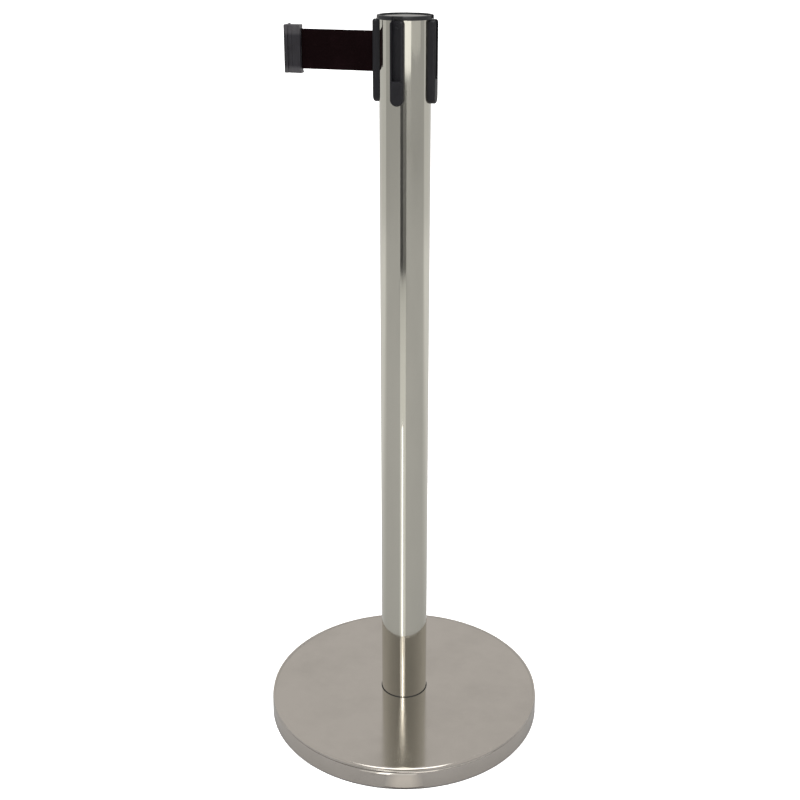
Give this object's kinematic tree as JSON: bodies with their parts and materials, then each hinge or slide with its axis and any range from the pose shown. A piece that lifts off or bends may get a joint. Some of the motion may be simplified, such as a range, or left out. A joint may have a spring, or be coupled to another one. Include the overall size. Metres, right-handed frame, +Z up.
{
  "type": "retractable belt stanchion",
  "caption": "Polished steel post on a round weighted base, with a spring-wound belt in its black head and open channels that take other posts' belt ends.",
  "frame": {"origin": "on the floor at the centre of the round base", "axes": "+Z up the post, -X the way the belt comes out, -Y towards the channel between the belt and the right-hand channel"},
  "size_m": [0.375, 0.375, 0.961],
  "materials": {
    "mirror_stainless": "mirror-polished stainless tube",
    "disc_stainless": "polished stainless disc",
    "satin_stainless": "fine satin stainless, still mirroring softly",
    "base_rubber": "matt moulded rubber",
    "concrete": "cast concrete, as it comes from the mould",
    "zinc_steel": "bright zinc plate",
    "die_casting": "plain die casting",
    "black_plastic": "semi-gloss black moulding",
    "end_plastic": "semi-gloss dark grey moulding",
    "end_pin_steel": "blackened steel",
    "case_plastic": "plain dark moulding",
    "bush_nylon": "natural nylon",
    "spring_steel": "blued spring strip",
    "webbing": "tight woven webbing, near-black maroon"
  },
  "bodies": {
    "stand": {"floor_ring": "base_rubber", "base_weight": "concrete", "base_cover": "satin_stainless", "tie_washer": "zinc_steel", "spring_washer": "zinc_steel", "tie_bolt": "zinc_steel", "foot_gasket": "base_rubber", "foot_plug": "die_casting", "post_tube": "mirror_stainless", "receiver_front": "black_plastic", "receiver_right": "black_plastic", "receiver_back": "black_plastic", "exit_strip": "black_plastic", "receiver_screws": "zinc_steel", "cap_ring": "black_plastic", "cap_disc": "disc_stainless", "cap_screws": "zinc_steel", "cassette_body": "case_plastic", "cassette_lid": "case_plastic", "guide_pins": "zinc_steel", "lower_bush": "bush_nylon", "upper_bush": "bush_nylon", "spring_case": "case_plastic", "case_screws": "zinc_steel", "power_spring": "spring_steel", "belt_lead": "webbing", "belt_tail": "webbing"},
    "spool": {"belt_spool": "case_plastic", "spool_flange": "case_plastic", "spool_shaft": "zinc_steel", "shaft_clip": "spring_steel", "anchor_pin": "zinc_steel", "belt_roll": "webbing"},
    "belt_end": {"belt_end_body": "end_plastic", "belt_pin": "end_pin_steel", "belt_hem": "webbing"}
  },
  "joints": [
    {"name": "belt_pull", "type": "slide", "parent": "stand", "child": "belt_end", "axis": [-1, 0, 0], "range_m": [-0.0985, 1.85], "stiffness_N_per_m": 2, "springref_m": -0.9, "deforming": ["belt_tail"]},
    {"name": "spool_spin", "type": "hinge", "parent": "stand", "child": "spool", "pos_m": [0, 0, 0.9175], "axis": [0, 0, 1], "range_deg": [-6800, 370], "deforming": ["power_spring"]}
  ],
  "couplings": [
    {"joint": "spool_spin", "follows": "belt_pull", "rad_per_m": -64}
  ]
}
